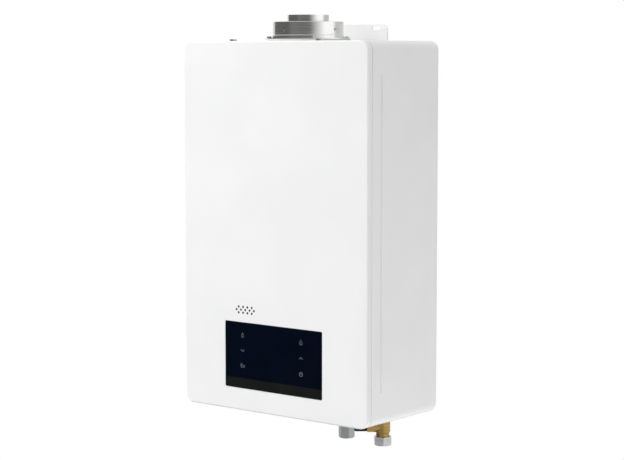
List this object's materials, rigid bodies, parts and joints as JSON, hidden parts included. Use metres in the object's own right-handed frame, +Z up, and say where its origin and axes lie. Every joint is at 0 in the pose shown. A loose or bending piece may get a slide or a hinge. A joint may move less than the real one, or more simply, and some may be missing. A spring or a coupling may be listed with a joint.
{
  "type": "gas water heater",
  "caption": "Wall-hung instantaneous gas water heater: flat white case with a black touch glass, coaxial flue collar on top, water and gas fittings underneath.",
  "frame": {"origin": "on the wall plane, midway between the two hanging slots", "axes": "+X to the right seen from the front, +Y into the wall (the front faces -Y), +Z up"},
  "size_m": [0.34, 0.1724, 0.6187],
  "materials": {
    "white_paint": "smooth semi-gloss white enamel",
    "zinc_steel": "galvanised sheet, dull spangle",
    "stainless": "drawn stainless sheet",
    "plated_steel": "dull plated steel",
    "nickel_plate": "nickel plate",
    "black_glass": "black back-printed touch glass",
    "black_plastic": "moulded black plastic",
    "white_plastic": "natural moulded plastic",
    "circuit_board": "green solder mask",
    "foam": "closed-cell foam and rubber",
    "fibre": "pale fibre gasket",
    "copper": "bare copper",
    "yellow_brass": "machined brass",
    "die_cast": "die-cast alloy",
    "glazed_white": "glazed ceramic insulators"
  },
  "bodies": {
    "chassis": {"case_back": "white_paint", "case_top": "white_paint", "case_floor": "white_paint", "case_left": "white_paint", "case_right": "white_paint", "upper_bracket": "white_paint", "lower_bracket": "white_paint", "cover_screws": "zinc_steel", "cover_pins": "zinc_steel", "flange_screws": "zinc_steel", "flue_hood": "zinc_steel", "burner_box": "zinc_steel", "fan_scroll": "zinc_steel", "flue_collar": "stainless", "flue_pipe": "stainless", "burner_bars": "stainless", "gas_inlet": "plated_steel", "lock_nuts": "plated_steel", "gas_riser": "plated_steel", "overheat_switch": "plated_steel", "fan_motor": "black_plastic", "shutoff_coil": "black_plastic", "modulating_coil": "black_plastic", "hall_sensor": "black_plastic", "cable_gland": "black_plastic", "igniter": "black_plastic", "flow_straightener": "white_plastic", "control_tray": "white_plastic", "control_board": "circuit_board", "union_washer": "foam", "flue_gasket": "fibre", "combustion_chamber": "copper", "exchanger_fins": "copper", "exchanger_tubes": "copper", "inlet_coil": "copper", "hot_pipe": "copper", "cold_inlet_tee": "yellow_brass", "hot_outlet": "yellow_brass", "pipe_nuts": "yellow_brass", "gas_nozzles": "yellow_brass", "flow_sensor": "yellow_brass", "gas_valve": "die_cast", "gas_manifold": "die_cast", "electrode_set": "glazed_white"},
    "cover": {"front_cover": "white_paint", "glass_panel": "black_glass", "display_frame": "black_plastic", "display_board": "circuit_board", "speaker": "black_plastic", "cover_seal": "foam"},
    "union_nut": {"cold_union_nut": "nickel_plate"},
    "drain_plug": {"drain_knob": "black_plastic", "filter_screen": "stainless"},
    "impeller": {"fan_impeller": "black_plastic"},
    "rotor": {"flow_rotor": "white_plastic"},
    "shutoff_valve": {"shutoff_plunger": "stainless"},
    "modulating_valve": {"modulating_plunger": "stainless"}
  },
  "joints": [
    {"name": "cover_pull", "type": "slide", "parent": "chassis", "child": "cover", "axis": [0, -1, 0], "range_m": [0, 0.25]},
    {"name": "union_spin", "type": "hinge", "parent": "chassis", "child": "union_nut", "pos_m": [0.13, -0.08, -0.594], "axis": [0, 0, 1], "continuous": true},
    {"name": "drain_turn", "type": "hinge", "parent": "chassis", "child": "drain_plug", "pos_m": [0.11218, -0.09422, -0.5713], "axis": [0.7815, 0.6239, 0], "range_deg": [0, 360]},
    {"name": "impeller_spin", "type": "hinge", "parent": "chassis", "child": "impeller", "pos_m": [-0.0292, -0.1, -0.491], "axis": [0, 1, 0], "continuous": true},
    {"name": "rotor_spin", "type": "hinge", "parent": "chassis", "child": "rotor", "pos_m": [0.13, -0.08, -0.53], "axis": [0, 0, 1], "continuous": true},
    {"name": "shutoff_lift", "type": "slide", "parent": "chassis", "child": "shutoff_valve", "axis": [0, 0, 1], "range_m": [0, 0.003], "stiffness_N_per_m": 300, "springref_m": -0.003},
    {"name": "modulating_lift", "type": "slide", "parent": "chassis", "child": "modulating_valve", "axis": [0, 0, 1], "range_m": [0, 0.003], "stiffness_N_per_m": 300, "springref_m": -0.003}
  ]
}
